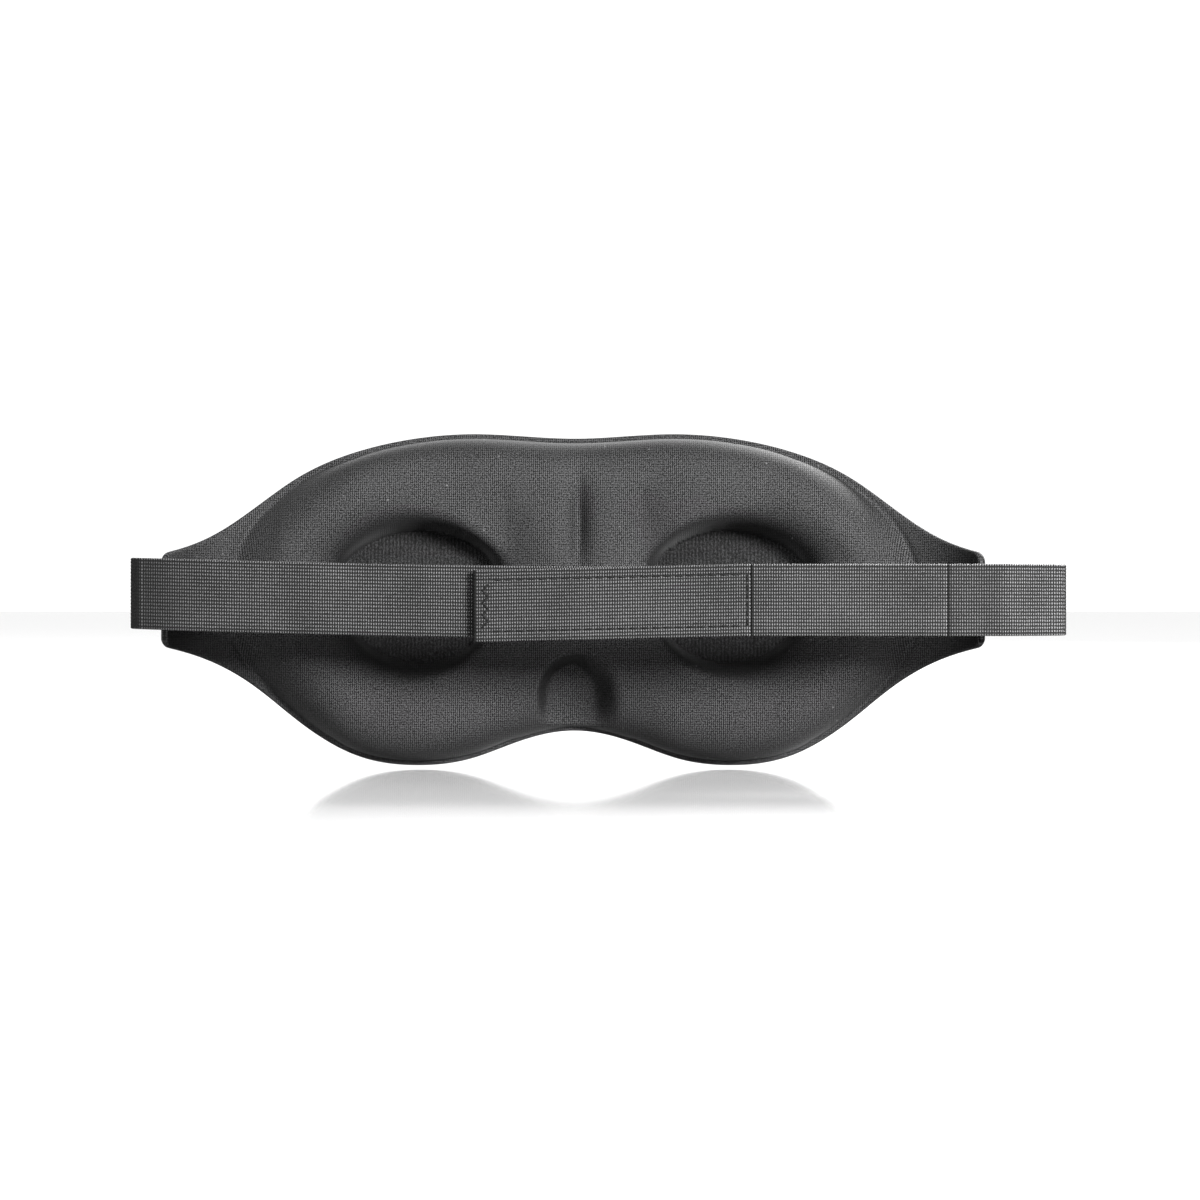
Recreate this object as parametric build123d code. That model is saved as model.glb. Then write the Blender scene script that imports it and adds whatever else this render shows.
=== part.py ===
from build123d import *
import math
import os

os.makedirs("parts", exist_ok=True)

# Contoured sleep eye mask, upright as worn, in millimetres.
# +Z is up, -Y is the outer face, +Y is the wearer's side and +X is the wearer's left.
# The origin is where the crest of the face cushion meets the bridge of the nose.

# Base curve seen from above: the surface where the front panel meets the face cushion.
cushion_height = 16.0      # from the base curve to the cushion's crest, cover included
body_radius = 600.0        # gentle wrap of the body
shoulder_x = 88.0          # where the body ends and a wing begins to curl back
wing_radius = 40.0         # curl of each wing
tip_x = 118.0              # half of the width from tip to tip
tip_corner = 4.0
band_height = 120.0        # upright slabs are taller than the mask and are cut to its outline

# Layers, measured from the base curve: minus is outwards, plus is towards the face.
cover_cloth = 0.7
lining_cloth = 0.6
front_foam_depth = 5.0
front_edge_round = 3.0
tip_foam_depth = 2.0       # the same foam pressed thin at the tips
cushion_edge_round = 8.0

# Eye cavities, from their mouth to their floor.
mouth_x, mouth_z = 53.0, 1.0
mouth_half = (27.5, 21.5)
floor_x = 47.0
floor_half = (22.0, 19.5)
mouth_round = 4.5
mouth_y = 8.0              # plane where the mouth is measured, past the crest

# Nose recess above the notch.
nose_half_width = 12.0
nose_arch_z = -17.0
nose_web = 5.0             # thickness left under the recess, from the base curve

# Webbing and closure.
web_width = 20.0
web_thick = 1.5
anchor_lap = 11.0          # sewn length on each wing
left_reach = 124.2         # how far the folds stand out from the centre
right_reach = 139.2
left_plane = 31.3          # distance of each run from the contact plane
left_end_x = -30.0
stack_gap = 0.1            # air between the hooks and the loops
hook_patch_thick = 1.0
tab_tilt = 0.9             # the tab is closed a little askew, in degrees
tab_start_x = -47.5        # inner stitch line of the tab
tab_end_x = 27.3
stretch_start_x = -104.0   # length of elastic that stretches
stretch_end_x = -62.0
right_lead = 3.0           # straight length past the tip before the right strap bends out
right_kick = 15.0          # its heading after that bend, in degrees
right_kick_radius = 12.0

# Thread.
stitch_length = 1.9
stitch_pitch = 2.8
thread = 0.45
row_inset = 2.9            # from the edge of the tab to its two long rows
patch_start_x = -44.5
patch_end_x = 25.8
patch_width = 17.0
tab_gap = 0.2              # slit at the tab's bend, so that it clears its base when askew
tip_seam_half = 12.5
tip_seam_inset = 2.5

# Half outlines seen from the front, (x, z), from the centre line outwards.
upper_edge = [(0, 49.0), (29.5, 50.3), (49, 48.7), (66, 44.6), (84, 36.2), (96, 27.2), (107, 19.0), (128, 10.5)]
lower_edge = [(0, -39.7), (17, -43.0), (31, -48.0), (48, -50.0), (66, -46.8), (84, -35.6), (96, -25.6),
              (107, -18.4), (128, -10.5)]

# Half outline of the padded ring, from the top of the centre line round to its bottom.
ring_edge = [(0, 47.6), (30, 48.9), (49, 47.2), (66, 42.8), (83, 34.6), (97, 21.0), (103.0, 4.0), (102.0, -9),
             (95.5, -22), (83, -34.4), (66, -45.2), (48, -48.6), (31, -46.6), (17, -41.8), (0, -38.4)]

right_plane = left_plane + web_thick + stack_gap + hook_patch_thick
apex_y = -cushion_height
body_turn = math.asin(shoulder_x / body_radius)
body_centre = Vector(0, apex_y + body_radius)
shoulder = body_centre + Vector(math.sin(body_turn), -math.cos(body_turn)) * body_radius
wing_centre = shoulder + Vector(-math.sin(body_turn), math.cos(body_turn)) * wing_radius
tip_turn = math.asin((tip_x - wing_centre.X) / wing_radius)
lap_radius = wing_radius - cover_cloth - web_thick / 2


def on_circle(centre, radius, turn):
    """Point of a circle where a path that turns left has this heading, counted from +X."""
    return Vector(centre.X + radius * math.sin(turn), centre.Y - radius * math.cos(turn))


def ahead(point, heading, length):
    return Vector(point.X + length * math.cos(heading), point.Y + length * math.sin(heading))


def mirrored(point):
    return Vector(-point.X, point.Y)


def standing(section, height):
    """A plan section made into an upright solid, centred on the eye line."""
    return extrude(section.moved(Location((0, 0, -height / 2))), height, dir=(0, 0, 1))


def band(near, far, end=tip_turn):
    """Slab between two offsets of the base curve."""
    edges = []
    ends = []
    for depth in (near, far):
        apex = on_circle(body_centre, body_radius - depth, 0)
        bend = on_circle(body_centre, body_radius - depth, body_turn)
        middle = on_circle(wing_centre, wing_radius - depth, (body_turn + end) / 2)
        tip = on_circle(wing_centre, wing_radius - depth, end)
        edges.append(Edge.make_three_point_arc(mirrored(tip), mirrored(middle), mirrored(bend)))
        edges.append(Edge.make_three_point_arc(mirrored(bend), apex, bend))
        edges.append(Edge.make_three_point_arc(bend, middle, tip))
        ends.append(tip)
    edges.append(Edge.make_line(ends[0], ends[1]))
    edges.append(Edge.make_line(mirrored(ends[0]), mirrored(ends[1])))
    return standing(Face(Wire(edges)), band_height)


def crest_slab(crest):
    """Everything outwards of the cushion's crest, which keeps the body's wrap to its ends."""
    half_turn = 2 * body_turn
    circles = []
    for radius in (body_radius - crest, body_radius + 60):
        points = [on_circle(body_centre, radius, turn) for turn in (-half_turn, 0, half_turn)]
        circles.append((Edge.make_three_point_arc(*points), points))
    (near, near_points), (far, far_points) = circles
    sides = [Edge.make_line(near_points[i], far_points[i]) for i in (0, 2)]
    return standing(Face(Wire([near, sides[0], far, sides[1]])), band_height)


def both_sides(points, margin):
    half = [(x, z - math.copysign(margin, z)) for x, z in points]
    return [(-x, z) for x, z in reversed(half[1:])] + half


def outline(margin):
    """Silhouette seen from the front, open past the tips, where the base curve ends."""
    top = both_sides(upper_edge, margin)
    bottom = both_sides(lower_edge, margin)
    with BuildSketch(Plane.XZ) as sketch:
        with BuildLine():
            Spline(*top)
            Spline(*bottom)
            Line(top[0], bottom[0])
            Line(top[-1], bottom[-1])
        make_face()
    return sketch.sketch


def through(sketch):
    """A profile drawn on the XZ plane, carried right through the depth of the mask."""
    return extrude(sketch, 100, both=True)


def ring_profile(shrink):
    points = []
    for x, z in ring_edge:
        scale = 1 - shrink / math.hypot(x, z)
        points.append((x * scale, z * scale))
    loop = points + [(-x, z) for x, z in reversed(points[1:-1])]
    with BuildSketch(Plane.XZ) as sketch:
        with BuildLine():
            Spline(*loop, periodic=True)
        make_face()
    return sketch.sketch


def cavity(side, shrink):
    """Hollow for one eye, wider at its mouth than at its floor."""
    low = Plane((side * floor_x, apex_y - 1, mouth_z), x_dir=(1, 0, 0), z_dir=(0, -1, 0))
    high = Plane((side * mouth_x, mouth_y, mouth_z), x_dir=(1, 0, 0), z_dir=(0, -1, 0))
    return loft([low * Ellipse(floor_half[0] - shrink, floor_half[1] - shrink),
                 high * Ellipse(mouth_half[0] - shrink, mouth_half[1] - shrink)])


def nose_recess(shrink):
    """Rounded channel that runs down from its arch and out through the notch."""
    half = nose_half_width - shrink
    centre_z = nose_arch_z - nose_half_width
    arch = Plane.XZ * Pos(0, centre_z) * Circle(half)
    channel = Plane.XZ * Pos(0, centre_z - 30) * Rectangle(2 * half, 60)
    return through(arch + channel) & band(nose_web + shrink, cushion_height + 10)


def depth_at(x):
    """Depth of the base curve at a distance from the centre of the body."""
    return apex_y + body_radius - math.sqrt(body_radius ** 2 - min(abs(x), shoulder_x) ** 2)


def on_crest(edge, crest):
    points = [edge.position_at(t) for t in (0.1, 0.3, 0.5, 0.7, 0.9)]
    return all(point.Y > depth_at(point.X) + crest - 0.5 for point in points)


def at_mouth(edge, side, crest):
    box = edge.bounding_box()
    within = abs(edge.center().X - side * mouth_x) < mouth_half[0] + 8
    small = box.size.X < 2 * mouth_half[0] + 14 and box.size.Z < 2 * mouth_half[1] + 10
    return within and small and on_crest(edge, crest)


def padded_ring(grow):
    """The face cushion; grow adds the thickness of its cover all over."""
    crest = cushion_height - cover_cloth + grow
    ring = band(0, crest + 6) & crest_slab(crest) & through(ring_profile(cover_cloth - grow))
    ring = fillet(ring.edges().filter_by(lambda e: on_crest(e, crest)), cushion_edge_round + grow)
    for side in (-1, 1):
        ring = ring - cavity(side, grow)
        mouth = ring.edges().filter_by(lambda e: at_mouth(e, side, crest))
        ring = fillet(mouth, mouth_round + grow)
    return ring - nose_recess(grow)


def face_layers():
    foam = padded_ring(0)
    flange = band(0, cover_cloth) & through(outline(0))
    for side in (-1, 1):
        flange = flange - cavity(side, cover_cloth)
    cover = (padded_ring(cover_cloth) + flange) - foam
    return foam, cover


def outer_wing(grow, end):
    """Circle that thins the panel from its full depth at the body to its pressed tip."""
    start = on_circle(body_centre, body_radius + lining_cloth + front_foam_depth + grow, body_turn)
    stop = on_circle(wing_centre, wing_radius + lining_cloth + tip_foam_depth + grow, end)
    inwards = Vector(-math.sin(body_turn), math.cos(body_turn))
    chord = start - stop
    radius = -chord.dot(chord) / (2 * inwards.dot(chord))
    return start, stop, start + inwards * radius, radius


def panel_slab(grow, near, end):
    """The front panel in plan, from one offset of the base curve to its outer face."""
    start, stop, centre, radius = outer_wing(grow, end)
    apex = Vector(0, apex_y - lining_cloth - front_foam_depth - grow)
    turn = math.asin((stop.X - centre.X) / radius)
    middle = on_circle(centre, radius, (body_turn + turn) / 2)
    inner_apex = on_circle(body_centre, body_radius - near, 0)
    inner_start = on_circle(body_centre, body_radius - near, body_turn)
    inner_middle = on_circle(wing_centre, wing_radius - near, (body_turn + end) / 2)
    inner_stop = on_circle(wing_centre, wing_radius - near, end)
    edges = []
    for first, between, last, top in ((start, middle, stop, apex), (inner_start, inner_middle, inner_stop, inner_apex)):
        edges.append(Edge.make_three_point_arc(mirrored(last), mirrored(between), mirrored(first)))
        edges.append(Edge.make_three_point_arc(mirrored(first), top, first))
        edges.append(Edge.make_three_point_arc(first, between, last))
    edges.append(Edge.make_line(stop, inner_stop))
    edges.append(Edge.make_line(mirrored(stop), mirrored(inner_stop)))
    return standing(Face(Wire(edges)), band_height)


def front_block(grow, near, rounded):
    """The front panel, cut to its outline, with its outer edge rounded over."""
    end = tip_turn - (cover_cloth - grow) / wing_radius
    block = panel_slab(grow, near, end) & through(outline(cover_cloth - grow))
    block = fillet(block.edges().filter_by(lambda e: is_tip_corner(e, end)), tip_corner)
    rim = block.edges().filter_by(lambda e: on_outer_face(e, grow, end))
    return fillet(rim, rounded + grow)


def turn_of(point):
    """Heading of the wing's curl at a point."""
    return math.atan2(abs(point.X) - wing_centre.X, wing_centre.Y - point.Y)


def is_tip_corner(edge, end):
    """True on an edge that runs through the thickness at a corner of a tip."""
    at_end = all(abs(turn_of(edge.position_at(t)) - end) < 0.002 for t in (0.1, 0.5, 0.9))
    return at_end and edge.bounding_box().size.Z < web_width / 2


def on_outer_face(edge, grow, end):
    start, _, centre, radius = outer_wing(grow, end)
    body = body_radius + lining_cloth + front_foam_depth + grow
    for t in (0.1, 0.3, 0.5, 0.7, 0.9):
        point = edge.position_at(t)
        flat = Vector(abs(point.X), point.Y)
        on_body = abs((flat - body_centre).length - body) < 0.05 and flat.X < start.X + 0.1
        on_wing = abs((flat - centre).length - radius) < 0.05 and flat.X > start.X - 0.1
        if not (on_body or on_wing):
            return False
    return True


def front_layers():
    foam = front_block(0, -lining_cloth, front_edge_round)
    lining = band(-lining_cloth, 0, tip_turn - cover_cloth / wing_radius) & through(outline(cover_cloth))
    cover = front_block(cover_cloth, 0, front_edge_round) - foam - lining
    return foam, lining, cover


def ribbon_turn(centre, radius, start, stop):
    """Plan section of webbing along an arc, between two headings."""
    inner = radius - web_thick / 2
    outer = radius + web_thick / 2
    middle = (start + stop) / 2
    near = Edge.make_three_point_arc(*[on_circle(centre, inner, a) for a in (start, middle, stop)])
    far = Edge.make_three_point_arc(*[on_circle(centre, outer, a) for a in (start, middle, stop)])
    first = Edge.make_line(on_circle(centre, inner, start), on_circle(centre, outer, start))
    last = Edge.make_line(on_circle(centre, inner, stop), on_circle(centre, outer, stop))
    return Face(Wire([near, first, far, last]))


def ribbon_run(start, heading, length):
    side = Vector(-math.sin(heading), math.cos(heading)) * (web_thick / 2)
    stop = ahead(start, heading, length)
    return Face(Wire.make_polygon([start - side, stop - side, stop + side, start + side]))


def fold(start, heading, reach, plane):
    """Straight length and radius that carry webbing round to a run parallel to the mask."""
    x = reach - web_thick / 2 - start.X
    y = plane - start.Y
    size = 1 + math.cos(heading) - math.sin(heading)
    straight = (x * (1 + math.cos(heading)) - y * (1 - math.sin(heading))) / size
    radius = (y * math.cos(heading) - x * math.sin(heading)) / size
    return straight, radius


def webbing(section):
    return standing(section, web_width)


def left_webbing():
    """Sewn end, fold and run of the left strap, and the point that it swings about."""
    lap = lap_section()
    start = on_circle(wing_centre, lap_radius, tip_turn)
    straight, radius = fold(start, tip_turn, left_reach, left_plane)
    corner = ahead(start, tip_turn, straight)
    centre = corner + Vector(-math.sin(tip_turn), math.cos(tip_turn)) * radius
    anchor = webbing(lap) + webbing(ribbon_run(start, tip_turn, straight))
    bend = webbing(ribbon_turn(centre, radius, tip_turn, math.pi))
    return anchor, bend, centre, radius


def right_webbing():
    """The same for the right strap, drawn on the left; it bends outwards before its fold."""
    start = on_circle(wing_centre, lap_radius, tip_turn)
    lead = ahead(start, tip_turn, right_lead)
    kick = math.radians(right_kick)
    kick_centre = lead + Vector(math.sin(tip_turn), -math.cos(tip_turn)) * right_kick_radius
    kick_end = kick_centre + Vector(-math.sin(kick), math.cos(kick)) * right_kick_radius
    straight, radius = fold(kick_end, kick, right_reach, right_plane)
    corner = ahead(kick_end, kick, straight)
    centre = corner + Vector(-math.sin(kick), math.cos(kick)) * radius
    anchor = webbing(lap_section()) + webbing(ribbon_run(start, tip_turn, right_lead))
    anchor = anchor + webbing(ribbon_turn(kick_centre, -right_kick_radius, tip_turn, kick))
    anchor = anchor + webbing(ribbon_run(kick_end, kick, straight))
    bend = webbing(ribbon_turn(centre, radius, kick, math.pi))
    return anchor, bend, centre, radius


def lap_section():
    return ribbon_turn(wing_centre, lap_radius, tip_turn - anchor_lap / lap_radius, tip_turn)


def run_box(start_x, end_x, plane, thick=web_thick, width=web_width):
    """Flat length of webbing across the back, between two places along X."""
    middle = (start_x + end_x) / 2
    return Pos(middle, plane, 0) * Box(abs(end_x - start_x), thick, width)


def askew(shape):
    """Turn the closed tab about its inner stitch line."""
    pivot = Pos(tab_start_x, 0, 0)
    return pivot * Rot(0, tab_tilt, 0) * Pos(-tab_start_x, 0, 0) * shape


def tab_stitches():
    """Two long rows and a zigzag at the free end, lying on the tab's outer face."""
    face_y = right_plane + web_thick / 2 + thread / 2
    row_z = web_width / 2 - row_inset
    count = int((patch_end_x - 3 - tab_start_x) / stitch_pitch)
    rows = []
    for row in (-1, 1):
        for i in range(count):
            x = tab_start_x + 2 + i * stitch_pitch
            rows.append(Pos(x, face_y, row * row_z) * Box(stitch_length, thread, thread))
    steps = 7
    rise = 2 * (row_z - 1.2) / steps
    zigzag = []
    for i in range(steps):
        z = -row_z + 1.2 + (i + 0.5) * rise
        lean = 35 if i % 2 else -35
        zigzag.append(Pos(patch_end_x - 1.8, face_y, z) * Rot(0, lean, 0) * Box(thread, thread, stitch_length))
    return askew(Compound(rows)), askew(Compound(zigzag))


def line_stitches():
    """Upright row along the line where the tab begins."""
    face_y = right_plane + web_thick / 2 + thread / 2
    count = 6
    pitch = (web_width - 2 * row_inset) / count
    row = []
    for i in range(count):
        z = -web_width / 2 + row_inset + (i + 0.5) * pitch
        row.append(Pos(tab_start_x - 1.2, face_y, z) * Box(thread, thread, stitch_length))
    return Compound(row)


def tip_stitches():
    """Seam across a wing's tip, over the sewn webbing and onto the cloth above and below it."""
    count = 10
    pitch = 2 * tip_seam_half / count
    row = []
    for i in range(count):
        z = -tip_seam_half + (i + 0.5) * pitch
        on_web = abs(z) < web_width / 2
        depth = cover_cloth + (web_thick if on_web else 0) + thread / 2
        turn = tip_turn - tip_seam_inset / wing_radius
        spot = on_circle(wing_centre, wing_radius - depth, turn)
        stitch = Box(thread, thread, stitch_length)
        row.append(Pos(spot.X, spot.Y, z) * Rot(0, 0, math.degrees(turn)) * stitch)
    return Compound(row)


def write(name, shape):
    export_step(shape, f"parts/{name}.step")


def across(shape):
    """The same piece on the other side of the mask."""
    return mirror(shape, about=Plane.YZ)


foam, cover = face_layers()
write("face_foam", foam)
write("face_cover", cover)

panel_foam, lining, panel_cover = front_layers()
write("front_foam", panel_foam)
write("front_lining", lining)
write("front_cover", panel_cover)

anchor, bend, left_pivot, left_fold_radius = left_webbing()
write("left_strap_anchor", anchor)
write("left_strap_fold", bend)
write("left_strap", run_box(left_pivot.X, left_end_x, left_plane))
write("left_tip_stitching", tip_stitches())

anchor, bend, right_pivot, right_fold_radius = right_webbing()
write("right_strap_anchor", across(anchor))
write("right_strap_fold", across(bend))
write("right_strap", run_box(-right_pivot.X, stretch_start_x, right_plane))
write("right_elastic_span", run_box(stretch_start_x, stretch_end_x, right_plane))
write("right_tip_stitching", across(tip_stitches()))

write("tab_base", run_box(stretch_end_x, tab_start_x, right_plane))
write("tab_line_stitching", line_stitches())
write("hook_tab", askew(run_box(tab_start_x + tab_gap, tab_end_x, right_plane)))
hooks_y = right_plane - web_thick / 2 - hook_patch_thick / 2
write("hook_patch", askew(run_box(patch_start_x, patch_end_x, hooks_y, hook_patch_thick, patch_width)))
rows, zigzag = tab_stitches()
write("tab_row_stitching", rows)
write("tab_end_stitching", zigzag)

print("left swing axis", left_pivot, "fold radius", round(left_fold_radius, 2))
print("right swing axis", mirrored(right_pivot), "fold radius", round(right_fold_radius, 2))
print("peel axis", tab_start_x, right_plane + web_thick / 2)
print("tip turn", round(math.degrees(tip_turn), 1), "tip", on_circle(wing_centre, wing_radius, tip_turn))
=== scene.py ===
import math

import bpy
import numpy as np
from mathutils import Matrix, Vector, kdtree


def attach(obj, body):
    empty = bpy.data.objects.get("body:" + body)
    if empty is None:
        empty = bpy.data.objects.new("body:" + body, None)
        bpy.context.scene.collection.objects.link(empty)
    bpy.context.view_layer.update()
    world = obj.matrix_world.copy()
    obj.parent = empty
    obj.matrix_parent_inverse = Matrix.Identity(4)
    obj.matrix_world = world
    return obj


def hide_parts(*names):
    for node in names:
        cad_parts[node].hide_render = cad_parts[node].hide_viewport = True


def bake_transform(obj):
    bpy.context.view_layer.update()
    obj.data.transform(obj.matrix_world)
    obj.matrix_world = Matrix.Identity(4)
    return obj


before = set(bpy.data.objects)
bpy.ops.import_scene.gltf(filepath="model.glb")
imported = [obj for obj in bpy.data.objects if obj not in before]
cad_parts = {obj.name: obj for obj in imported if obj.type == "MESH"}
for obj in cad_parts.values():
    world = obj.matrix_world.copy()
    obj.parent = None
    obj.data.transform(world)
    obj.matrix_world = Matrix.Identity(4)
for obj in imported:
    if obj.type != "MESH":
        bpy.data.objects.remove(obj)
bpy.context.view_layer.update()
mm = 0.001

# The mask's build, in millimetres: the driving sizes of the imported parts, with a smaller corner at the tips.
maskShape = {
    "bodyRadius": 600.0,      # wrap of the body round the face
    "shoulderX": 88.0,        # where the wings begin to curl back
    "wingRadius": 40.0,
    "tipX": 118.0,
    "crest": 16.0,            # from the base curve to the top of the cushion
    "tipCorner": 2.6,
    "upperEdge": [(0, 49.0), (29.5, 50.3), (49, 48.7), (66, 44.6), (84, 36.2), (96, 27.2),
                  (107, 19.0), (128, 10.5)],
    "lowerEdge": [(0, -39.7), (17, -43.0), (31, -48.0), (48, -50.0), (66, -46.8), (84, -35.6),
                  (96, -25.6), (107, -18.4), (128, -10.5)],
    "ringEdge": [(0, 47.6), (30, 48.9), (49, 47.2), (66, 42.8), (83, 34.6), (97, 21.0), (103.0, 4.0),
                 (102.0, -9), (95.5, -22), (83, -34.4), (66, -45.2), (48, -48.6), (31, -46.6),
                 (17, -41.8), (0, -38.4)],
}


def deselectAll():
    if bpy.context.object and bpy.context.object.mode != "OBJECT":
        bpy.ops.object.mode_set(mode="OBJECT")
    bpy.ops.object.select_all(action="DESELECT")


def pick(*pieces):
    deselectAll()
    for piece in pieces:
        piece.select_set(True)
    bpy.context.view_layer.objects.active = pieces[0]


def smoothStep(low, high, value):
    t = np.clip((value - low) / (high - low), 0, 1)
    return t * t * (3 - 2 * t)


def curveThrough(points):  # cubic spline through a few points, as a function of the first coordinate
    xs, ys = np.array(points, float).T
    n = len(xs)
    gaps = np.diff(xs)
    system = np.eye(n)
    right = np.zeros(n)
    system[0, :2] = (2, 1)            # level at the centre line
    right[0] = 6 * (ys[1] - ys[0]) / gaps[0] ** 2
    for i in range(1, n - 1):
        system[i, i - 1:i + 2] = (gaps[i - 1], 2 * (gaps[i - 1] + gaps[i]), gaps[i])
        right[i] = 6 * ((ys[i + 1] - ys[i]) / gaps[i] - (ys[i] - ys[i - 1]) / gaps[i - 1])
    bends = np.linalg.solve(system, right)

    def at(x):
        x = np.clip(np.abs(x), xs[0], xs[-1])
        i = np.clip(np.searchsorted(xs, x) - 1, 0, n - 2)
        gap = gaps[i]
        a = (xs[i + 1] - x) / gap
        b = 1 - a
        curve = ((a ** 3 - a) * bends[i] + (b ** 3 - b) * bends[i + 1]) * gap ** 2 / 6
        return a * ys[i] + b * ys[i + 1] + curve
    return at


apexY = -maskShape["crest"]
bodyTurn = math.asin(maskShape["shoulderX"] / maskShape["bodyRadius"])
bodyCentreY = apexY + maskShape["bodyRadius"]
wingCentre = Vector((maskShape["shoulderX"] - math.sin(bodyTurn) * maskShape["wingRadius"],
                     bodyCentreY - math.cos(bodyTurn) * (maskShape["bodyRadius"] - maskShape["wingRadius"])))
tipTurn = math.asin((maskShape["tipX"] - wingCentre.x) / maskShape["wingRadius"])
bodyLength = maskShape["bodyRadius"] * bodyTurn
halfLength = bodyLength + maskShape["wingRadius"] * (tipTurn - bodyTurn)
upperEdgeAt = curveThrough(maskShape["upperEdge"])
lowerEdgeAt = curveThrough(maskShape["lowerEdge"])


def baseCurve(run):  # plan place and heading of the base curve at a length from the centre line
    length = np.abs(run)
    side = np.sign(run)
    onBody = length < bodyLength
    bodyRadius, wingRadius = maskShape["bodyRadius"], maskShape["wingRadius"]
    turn = np.where(onBody, length / bodyRadius, bodyTurn + (length - bodyLength) / wingRadius)
    x = np.where(onBody, bodyRadius * np.sin(turn), wingCentre.x + wingRadius * np.sin(turn))
    y = np.where(onBody, bodyCentreY - bodyRadius * np.cos(turn), wingCentre.y - wingRadius * np.cos(turn))
    return side * x, y, side * turn


def edgesAt(run):  # upper and lower edge of the mask there, with the tips' corners rounded
    x = baseCurve(run)[0]
    corner = maskShape["tipCorner"]
    past = np.clip(np.abs(run) - (halfLength - corner), 0, corner)
    cut = corner - np.sqrt(corner ** 2 - past ** 2)
    return upperEdgeAt(x) - cut, lowerEdgeAt(x) + cut


def ringOutline():  # dense closed outline of the padded ring, through its few points
    half = maskShape["ringEdge"]
    loop = np.array(half + [(-x, z) for x, z in reversed(half[1:-1])])
    count = len(loop)
    points = []
    for i in range(count):
        p0, p1, p2, p3 = (loop[(i + k) % count] for k in (-1, 0, 1, 2))
        for t in np.linspace(0, 1, 40, endpoint=False):
            points.append(0.5 * (2 * p1 + (p2 - p0) * t + (2 * p0 - 5 * p1 + 4 * p2 - p3) * t ** 2
                                 + (3 * p1 - p0 - 3 * p2 + p3) * t ** 3))
    return np.array(points)


def depthInside(outline, x, z):  # distance from the outline, positive inside it
    tree = kdtree.KDTree(len(outline))
    for i, point in enumerate(outline):
        tree.insert((point[0], point[1], 0), i)
    tree.balance()
    ahead = np.roll(outline, -1, axis=0) - np.roll(outline, 1, axis=0)
    ahead /= np.linalg.norm(ahead, axis=1)[:, None]
    inward = np.stack([ahead[:, 1], -ahead[:, 0]], axis=1)
    result = np.empty(x.shape)
    flatX, flatZ, flat = x.ravel(), z.ravel(), result.ravel()
    for i in range(len(flatX)):
        _, k, distance = tree.find((flatX[i], flatZ[i], 0))
        across = (flatX[i] - outline[k, 0]) * inward[k, 0] + (flatZ[i] - outline[k, 1]) * inward[k, 1]
        flat[i] = across if distance < 2 else math.copysign(distance, across)
    return flat.reshape(x.shape)


def cavityRise(x, z, cavity):  # 0 at the rim of a cavity's floor, 1 at its mouth, more beyond it
    u = np.abs(x)
    low = np.full(x.shape, -1.5)
    high = np.full(x.shape, 6.0)
    for _ in range(34):
        middle = (low + high) / 2
        centre = cavity["floorX"] + middle * (cavity["mouthX"] - cavity["floorX"])
        halfX = cavity["floorHalf"][0] + middle * (cavity["mouthHalf"][0] - cavity["floorHalf"][0])
        halfZ = cavity["floorHalf"][1] + middle * (cavity["mouthHalf"][1] - cavity["floorHalf"][1])
        halfX = halfX * (1 + cavity["upperWiden"] * smoothStep(0, 14, z))
        outside = ((u - centre) / halfX) ** 2 + ((z - cavity["centreZ"]) / halfZ) ** 2 > 1
        low = np.where(outside, middle, low)
        high = np.where(outside, high, middle)
    return (low + high) / 2


def spacing(total, fine, step):  # places along a length, closer together near both ends
    inner = np.linspace(fine[-1], total - fine[-1], max(2, int((total - 2 * fine[-1]) / step)) + 1)
    return np.concatenate([fine[:-1], inner, total - np.array(fine[:-1])[::-1]])


def layGrid(name, place, uv):  # a grid with every vertex moved to its place; uv holds the cloth's own measure
    columns, rows = place.shape[:2]
    deselectAll()
    bpy.ops.mesh.primitive_grid_add(x_subdivisions=columns - 1, y_subdivisions=rows - 1, size=2)
    piece = bpy.context.object
    piece.name = name
    mesh = piece.data
    flat = np.empty(len(mesh.vertices) * 3)
    mesh.vertices.foreach_get("co", flat)
    flat = flat.reshape(-1, 3)
    column = np.rint((flat[:, 0] + 1) / 2 * (columns - 1)).astype(int)
    row = np.rint((flat[:, 1] + 1) / 2 * (rows - 1)).astype(int)
    mesh.vertices.foreach_set("co", (place[column, row] * mm).ravel())
    corners = np.empty(len(mesh.loops), np.int32)
    mesh.loops.foreach_get("vertex_index", corners)
    mesh.uv_layers[0].name = "clothMeasure"
    mesh.uv_layers[0].data.foreach_set("uv", uv[column, row][corners].ravel())
    mesh.update()
    return piece


def closeSheets(name, near, far):  # joins two sheets of the same grid and bridges their borders
    pick(near, far)
    bpy.ops.object.join()
    piece = bpy.context.object
    piece.name = name
    piece.data.name = name
    bpy.ops.object.mode_set(mode="EDIT")
    bpy.ops.mesh.select_mode(type="EDGE")
    bpy.ops.mesh.select_all(action="DESELECT")
    bpy.ops.mesh.select_non_manifold(extend=False)
    bpy.ops.mesh.bridge_edge_loops()
    bpy.ops.mesh.select_all(action="SELECT")
    bpy.ops.mesh.normals_make_consistent(inside=False)
    bpy.ops.object.mode_set(mode="OBJECT")
    bpy.ops.object.shade_smooth()
    return piece


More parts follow.
